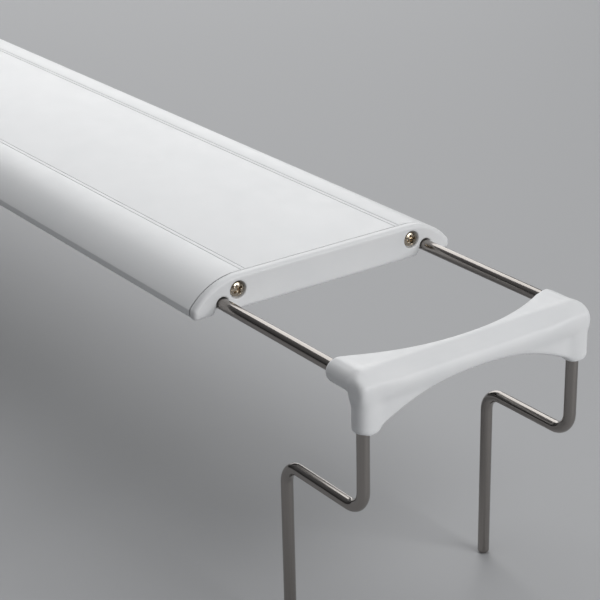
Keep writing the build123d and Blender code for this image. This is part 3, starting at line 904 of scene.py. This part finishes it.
def board_mask():
    """White solder mask over wide copper areas that are parted by thin gaps."""
    material = new_material("solder_mask_white", 0.3)
    nodes, links = material.node_tree.nodes, material.node_tree.links
    bricks = nodes.new("ShaderNodeTexBrick")
    bricks.inputs["Scale"].default_value = 1.0
    bricks.inputs["Brick Width"].default_value = LED_PITCH * MM
    bricks.inputs["Row Height"].default_value = ROW_SPACING / 2 * MM
    bricks.inputs["Mortar Size"].default_value = 0.25 * MM
    bricks.inputs["Color1"].default_value = (0.82, 0.83, 0.80, 1)
    bricks.inputs["Color2"].default_value = (0.80, 0.81, 0.79, 1)
    bricks.inputs["Mortar"].default_value = (0.72, 0.735, 0.71, 1)
    links.new(nodes.new("ShaderNodeTexCoord").outputs["Object"], bricks.inputs["Vector"])
    links.new(bricks.outputs["Color"], nodes["Principled BSDF"].inputs["Base Color"])
    roughness_between(material, noise(material, 500, 3), 0.25, 0.38)
    relief(material, noise(material, 700, 2), 0.006)
    relief(material, bricks.outputs["Fac"], -0.03)
    return material


def clear_acrylic():
    """Clear extruded sheet, with slight waviness and fine haze."""
    material = new_material("clear_acrylic", 0.03)
    shader = material.node_tree.nodes["Principled BSDF"]
    shader.inputs["Base Color"].default_value = (0.97, 0.98, 0.98, 1)
    shader.inputs["IOR"].default_value = 1.49
    shader.inputs["Transmission Weight"].default_value = 1.0
    roughness_between(material, noise(material, 300, 4), 0.02, 0.07)
    relief(material, noise(material, 60, 2, (0.1, 1, 1)), 0.01)
    return material


PAINT = powder_coat()
WHITE = moulded_white()
STEEL = drawn_steel()
NICKEL = plated("nickel_screw", (0.40, 0.34, 0.26), (0.56, 0.49, 0.40), 0.16, 0.3)
CONTACT = plated("nickel_contact", (0.66, 0.64, 0.60), (0.78, 0.76, 0.72), 0.15, 0.28)
TIN = plated("tinned_solder", (0.60, 0.60, 0.60), (0.74, 0.74, 0.73), 0.22, 0.4, 0.02)
ZINC = plated("zinc_stop_ring", (0.52, 0.53, 0.55), (0.64, 0.65, 0.66), 0.25, 0.42)
RUBBER = moulded("seal_rubber_grey", (0.42, 0.42, 0.43), (0.5, 0.5, 0.51), 0.55, 0.75, 1800, 0.03)
PAD = moulded("thermal_pad_grey", (0.30, 0.33, 0.36), (0.36, 0.39, 0.42), 0.7, 0.85, 1200, 0.04)
BOARD = board_mask()
LED_WHITE = moulded("led_housing_white", (0.80, 0.80, 0.78), (0.86, 0.86, 0.84), 0.3, 0.42)
PHOSPHOR = moulded("led_phosphor", (0.76, 0.60, 0.08), (0.88, 0.76, 0.20), 0.25, 0.4, 5000, 0.02)
CHIP = moulded("resistor_body_black", (0.012, 0.012, 0.013), (0.03, 0.03, 0.03), 0.3, 0.5, 4000)
ACRYLIC = clear_acrylic()
BLACK = moulded("moulded_plastic_black", (0.012, 0.012, 0.013), (0.022, 0.022, 0.024), 0.32, 0.48)
GLIDE = moulded("glide_plastic", (0.70, 0.69, 0.64), (0.76, 0.75, 0.71), 0.32, 0.45)
RED_LEAD = moulded("lead_insulation_red", (0.42, 0.015, 0.012), (0.52, 0.025, 0.02), 0.35, 0.5)
BLACK_LEAD = moulded("lead_insulation_black", (0.012, 0.012, 0.012), (0.025, 0.025, 0.025), 0.35, 0.5)


# ---------------------------------------------------------------- pieces
def gasket_outlines():
    """Section of a cap's seal: inset from the housing, open at the bay and at the rods."""
    inset = 0.2
    bottom = HOUSING_BOTTOM + inset
    radius = SIDE_RADIUS - inset
    edge = HALF_WIDTH - inset
    centre = (FLAT_HALF_WIDTH, TOP_Z - SIDE_RADIUS)
    end = math.degrees(math.acos((edge - FLAT_HALF_WIDTH) / radius))
    corners = [(0, TOP_Z - inset, 0)]
    corners += [(y, z, 0) for y, z in arc_points(centre, radius, 90, end, 20)]
    corners += [(edge, bottom, 0.3), (ROD_Y + NOTCH_RADIUS, bottom, 0.1)]
    corners += [(y, z, 0) for y, z in arc_points((ROD_Y, ROD_Z), NOTCH_RADIUS, 0, 180, 20)]
    corners += [(ROD_Y - NOTCH_RADIUS, bottom, 0.1), (BAY_HALF_WIDTH, bottom, 0.1),
                (BAY_HALF_WIDTH, BAY_ROOF, 0.2), (0, BAY_ROOF, 0)]
    mirrored = [(-y, z, fillet) for y, z, fillet in reversed(corners[1:-1])]
    holes = [arc_points((side * SCREW_Y, SCREW_Z), SCREW_HOLE, 360, 0, 33)[:-1] for side in (1, -1)]
    return [rounded_outline(corners + mirrored)[::-1]] + holes


def build_caps():
    """End caps, their seals and their screws."""
    seal = prism(gasket_outlines(), HOUSING_END, FLANGE_X, 0.08)
    screws = joined([moved(cap_screw(SCREW_TURNS[name]), (SCREW_SEAT, side * SCREW_Y, SCREW_Z))
                     for name, side in SIDES.items()])
    caps = {"right": end_cap(SPIGOT_RIGHT, False), "left": end_cap(SPIGOT_LEFT, True)}
    for end, sign in ENDS.items():
        make_at_end(sign, f"cap_moulding_{end}", caps[end], WHITE, [f"end_cap_{end}"])
        make_at_end(sign, f"cap_seal_{end}", seal, RUBBER, [f"cap_gasket_{end}"])
        make_at_end(sign, f"cap_fasteners_{end}", screws, NICKEL, [f"cap_screws_{end}"])


def build_wires(place, sign, y):
    """One slide rod and one leg; place is the end and the side, such as right_front."""
    path = [(ROD_LOW[0], y, ROD_Z), (ROD_HIGH[0], y, ROD_Z)]
    rod, run = wire(path, WIRE_RADIUS, BEND_RADIUS, ROD_END_ROUNDING)
    make_at_end(sign, f"rod_wire_{place}", rod, STEEL, [f"slide_rod_{place}"], run)
    path = [(LEG_X, y, LEG_TOP), (LEG_X, y, JOG_Z), (LEG_INNER_X, y, JOG_Z), (LEG_INNER_X, y, 0)]
    leg, run = wire(path, WIRE_RADIUS, BEND_RADIUS, LEG_END_ROUNDING)
    make_at_end(sign, f"leg_wire_{place}", leg, STEEL, [f"leg_{place}"], run)


def build_rod_fittings(place, sign, y):
    """The glide that one rod slides in, and the stop ring on the rod."""
    glide = sleeve(GLIDE_LOW[0], GLIDE_HIGH[0], GLIDE_RADIUS, GLIDE_BORE, 0.2)
    make_at_end(sign, f"glide_sleeve_{place}", lathe(glide, (0, y, ROD_Z), (1, 0, 0)), GLIDE,
                [f"rod_glide_{place}"])
    stop = sleeve(STOP_LOW[0], STOP_HIGH[0], STOP_RADIUS, WIRE_RADIUS, 0.25)
    make_at_end(sign, f"stop_ring_{place}", lathe(stop, (0, y, ROD_Z), (1, 0, 0)), ZINC,
                [f"rod_stop_{place}"])


def build_brackets():
    """Bridges, slide rods, legs, glides and stop rings."""
    moulding = bridge()
    for end, sign in ENDS.items():
        make_at_end(sign, f"bridge_moulding_{end}", moulding, WHITE, [f"bridge_{end}"])
        for name, side in SIDES.items():
            y = side * sign * ROD_Y
            build_wires(f"{end}_{name}", sign, y)
            build_rod_fittings(f"{end}_{name}", sign, y)


def build_board():
    """LED board with its LEDs, resistors, pad and lens."""
    make_piece("pad_sheet", block(PAD_LOW, PAD_HIGH, 0.12), PAD, ["thermal_pad"])
    make_piece("board_panel", block(BOARD_LOW, BOARD_HIGH, 0.12), BOARD, ["led_board"])
    make_piece("lens_sheet", block(LENS_LOW, LENS_HIGH, 0.2), ACRYLIC, ["cover_lens"])
    z = BOARD_LOW[2]
    resistor_places = []
    low, high = node_box("board_resistors")
    for row in range(1, LED_ROWS + 1):
        node = f"led_row_{row}"
        led_low, led_high = node_box(node)
        y = (led_low[1] + led_high[1]) / 2
        first = led_low[0] + LED_HALF_LENGTH
        places = [(first + i * LED_PITCH, y, z) for i in range(LEDS_PER_ROW)]
        make_piece(f"{node}_housings", repeated(led_package(), places), LED_WHITE, [node])
        make_piece(f"{node}_phosphor", repeated(led_phosphor(), places), PHOSPHOR, [node])
        make_piece(f"{node}_feet", repeated(led_terminals(), places), TIN, [node])
        resistor_places += [(x, y + RESISTOR_OFFSET, z)
                            for x in np.arange(low[0] + RESISTOR_HALF_LENGTH, high[0], RESISTOR_PITCH)]
    make_piece("resistor_bodies", repeated(chip_resistor(), resistor_places), CHIP,
               ["board_resistors"])
    make_piece("resistor_ends", repeated(chip_ends(), resistor_places), TIN,
               ["board_resistors"])


def build_inlet():
    """Power inlet."""
    make_piece("inlet_shell", jack_body(), BLACK, ["dc_jack_body"])
    contact = sleeve(CONTACT_LOW[0], CONTACT_HIGH[0], CONTACT_RADIUS, JACK_BORE, 0.06)
    make_piece("inlet_sleeve", lathe(contact, (0, 0, JACK_Z), (1, 0, 0)), CONTACT,
               ["dc_jack_contact"])
    make_piece("inlet_pin", jack_pin(), CONTACT, ["dc_jack_pin"])


def build_lead(node, start, side, material):
    """One lead from the inlet to the board, with its solder."""
    shape, run = wire(lead_path(start, side), LEAD_RADIUS, LEAD_BEND, 0.1, 20)
    make_piece(f"{node}_insulation", shape, material, [node], run=run)
    place = (BOARD_LOW[0] + LEAD_OVERLAP, side * LEAD_Y, BOARD_LOW[2])
    blob = [(0, 0), (0, 1.3), (0.25, 1.15), (0.7, 0.9), (1.0, 0.5), (1.1, 0)]
    make_piece(f"{node}_solder", lathe(blob, place, (0, 0, -1), 24), TIN, [node])


make_piece("housing_extrusion", housing(), PAINT, ["housing"])
build_caps()
build_brackets()
build_board()
build_inlet()
build_lead("lead_positive", (PIN_HIGH[0], 0, JACK_Z), 1, RED_LEAD)
build_lead("lead_negative", (JACK_HIGH[0], NEGATIVE_Y, JACK_Z), -1, BLACK_LEAD)


# ---------------------------------------------------------------- floor, light and camera
FLOOR_REACH = 6.0
MIDDLE = (0.15, 0.0, 0.1)
SOFTBOXES = {  # place, size and power
    "backdrop": ((-1.5, 0.9, 1.24), (1.7, 2.6), 28),
    "overhead": ((0.3, -0.2, 1.7), (1.0, 1.0), 6.5),
    "end_fill": ((1.6, 0.5, 0.6), (0.9, 0.7), 12),
}
HORIZON_LIGHT = 0.02
ZENITH_LIGHT = 0.25


def plain_material(name, colour, roughness):
    """A plain material for the floor."""
    material = bpy.data.materials.new(name)
    material.use_nodes = True
    shader = material.node_tree.nodes["Principled BSDF"]
    shader.inputs["Base Color"].default_value = (*colour, 1)
    shader.inputs["Roughness"].default_value = roughness
    return material


def add_floor():
    """Pale floor under the object."""
    mesh = bpy.data.meshes.new("floor")
    corners = [(x * FLOOR_REACH, y * FLOOR_REACH, 0) for x, y in ((-1, -1), (1, -1), (1, 1), (-1, 1))]
    mesh.from_pydata(corners, [], [(0, 1, 2, 3)])
    mesh.materials.append(plain_material("floor_pale", (0.45, 0.455, 0.465), 0.7))
    floor = bpy.data.objects.new("floor", mesh)
    bpy.context.scene.collection.objects.link(floor)


def add_softbox(name, place, target, size, power):
    """A square area light at a place in metres, facing a target."""
    light = bpy.data.lights.new(name, "AREA")
    light.shape = "RECTANGLE"
    light.size, light.size_y = size
    light.energy = power
    box = bpy.data.objects.new(name, light)
    box.location = place
    box.rotation_euler = (Vector(place) - Vector(target)).to_track_quat("Z", "Y").to_euler()
    box.visible_camera = False
    bpy.context.scene.collection.objects.link(box)


def add_world(low, high):
    """Grey surroundings, darker at the horizon than overhead."""
    world = bpy.data.worlds.new("studio")
    bpy.context.scene.world = world
    world.use_nodes = True
    nodes, links = world.node_tree.nodes, world.node_tree.links
    place = nodes.new("ShaderNodeTexCoord").outputs["Generated"]
    split = nodes.new("ShaderNodeSeparateXYZ")
    spread = nodes.new("ShaderNodeMapRange")
    spread.inputs["To Min"].default_value = low
    spread.inputs["To Max"].default_value = high
    links.new(place, split.inputs["Vector"])
    links.new(split.outputs["Z"], spread.inputs["Value"])
    links.new(spread.outputs["Result"], nodes["Background"].inputs["Strength"])
    nodes["Background"].inputs["Color"].default_value = (0.95, 0.97, 1.0, 1)


CAMERA_LENS = 105.46
CAMERA_AZIMUTH = 54.944
CAMERA_ELEVATION = 23.124
CAMERA_ROLL = 1.286
CAMERA_OFFSET = (431.6, -314.3, 218.7)


def add_camera():
    """Camera at the product picture's angle; its offset is from the cap's face at the rods' height."""
    azimuth, elevation, roll = (math.radians(a) for a in (CAMERA_AZIMUTH, CAMERA_ELEVATION, CAMERA_ROLL))
    back = Vector((math.sin(azimuth) * math.cos(elevation), -math.cos(azimuth) * math.cos(elevation),
                   math.sin(elevation)))
    level = Vector((0, 0, 1)).cross(back).normalized()
    up = back.cross(level)
    right = level * math.cos(roll) - up * math.sin(roll)
    up = level * math.sin(roll) + up * math.cos(roll)
    data = bpy.data.cameras.new("camera")
    data.lens = CAMERA_LENS
    data.sensor_width = 36
    data.sensor_fit = "HORIZONTAL"
    camera = bpy.data.objects.new("camera", data)
    bpy.context.scene.collection.objects.link(camera)
    turn = Matrix((right, up, back)).transposed().to_4x4()
    place = Vector((FACE_X, 0, ROD_Z)) + Vector(CAMERA_OFFSET)
    camera.matrix_world = Matrix.Translation(place * MM) @ turn
    bpy.context.scene.camera = camera


bpy.context.scene.view_settings.view_transform = "Standard"
add_floor()
for box, (place, size, power) in SOFTBOXES.items():
    add_softbox(box, place, MIDDLE, size, power)
add_world(HORIZON_LIGHT, ZENITH_LIGHT)
add_camera()
